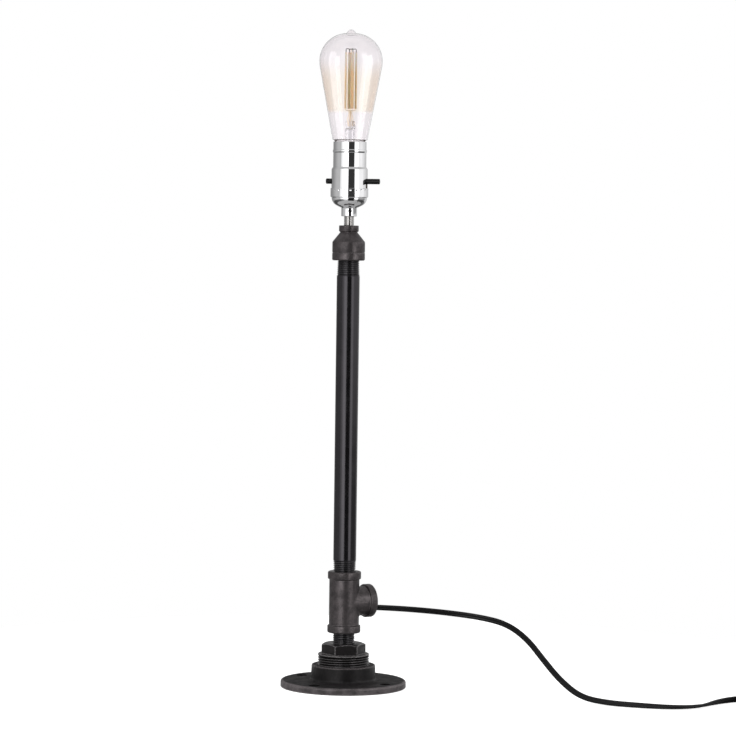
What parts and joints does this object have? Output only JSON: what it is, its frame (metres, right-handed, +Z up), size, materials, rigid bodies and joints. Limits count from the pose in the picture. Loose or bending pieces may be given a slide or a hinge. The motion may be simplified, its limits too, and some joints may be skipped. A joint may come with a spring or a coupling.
{
  "type": "table lamp",
  "caption": "Table lamp of threaded pipe fittings: round bolted flange, column pipe with a side tee where the cord leaves, push-through socket and a clear pear-shaped bulb.",
  "frame": {"origin": "centre of the flange's underside, on the surface that the lamp stands on", "axes": "+Z up the column, +X out of the tee's branch, where the cord leaves"},
  "size_m": [0.4145, 0.415, 0.6114],
  "materials": {
    "flange_iron": "dark oiled casting",
    "bushing_iron": "dark malleable iron, worn on the edges",
    "fitting_iron": "malleable iron with a warm grain",
    "pipe_steel": "dark lacquered steel pipe",
    "stem_steel": "threaded steel",
    "chrome_shell": "polished chrome plate",
    "screw_steel": "blackened steel screw",
    "card": "pressed card",
    "phenolic": "moulded phenolic",
    "brass_part": "bare brass",
    "spring_steel": "spring steel",
    "rod_black": "smooth black",
    "clear_glass": "clear blown glass with a faint warm tint",
    "cap_nickel": "nickel-plated cap",
    "black_glass": "dark glass",
    "solder": "solder",
    "mount_glass": "clear glass tube",
    "phosphor": "phosphor-coated strip",
    "bulb_wire": "bare wire",
    "cord_black": "smooth black cord",
    "copper": "bare copper",
    "tie_black": "soft black tie",
    "plug_black": "moulded black plug",
    "blade_brass": "plated brass"
  },
  "bodies": {
    "lamp": {"base_flange": "flange_iron", "reducing_bushing": "bushing_iron", "lower_nipple": "pipe_steel", "tee": "fitting_iron", "main_pipe": "pipe_steel", "reducing_coupling": "fitting_iron", "lamp_nipple": "stem_steel", "socket_cap": "chrome_shell", "set_screw": "screw_steel", "socket_shell": "chrome_shell", "insulating_liner": "card", "socket_interior": "phenolic", "screw_shell": "brass_part", "centre_contact": "brass_part", "terminal_screws": "brass_part", "detent_spring": "spring_steel", "inner_cord": "cord_black", "conductors": "copper", "cord_tube": "cord_black", "cord_coil": "cord_black", "cord_tie": "tie_black", "cord_tail": "cord_black", "plug_body": "plug_black", "plug_blades": "blade_brass"},
    "switch": {"switch_rod": "rod_black", "contact_collar": "brass_part"},
    "bulb_foot": {"bulb_insulator": "black_glass", "bulb_tip_contact": "solder"},
    "bulb": {"bulb_glass": "clear_glass", "bulb_cap": "cap_nickel", "bulb_mount": "mount_glass", "bulb_filaments": "phosphor", "bulb_wires": "bulb_wire"}
  },
  "joints": [
    {"name": "switch_push", "type": "slide", "parent": "lamp", "child": "switch", "axis": [0.7193, -0.6947, 0], "range_m": [-0.0066, 0]},
    {"name": "bulb_lift", "type": "slide", "parent": "lamp", "child": "bulb_foot", "axis": [0, 0, 1], "range_m": [0, 0.0164]},
    {"name": "bulb_turn", "type": "hinge", "parent": "bulb_foot", "child": "bulb", "pos_m": [0, 0, 0.5], "axis": [0, 0, 1], "range_deg": [0, 1620]}
  ],
  "couplings": [
    {"joint": "bulb_lift", "follows": "bulb_turn", "m_per_rad": 0.00057751}
  ]
}
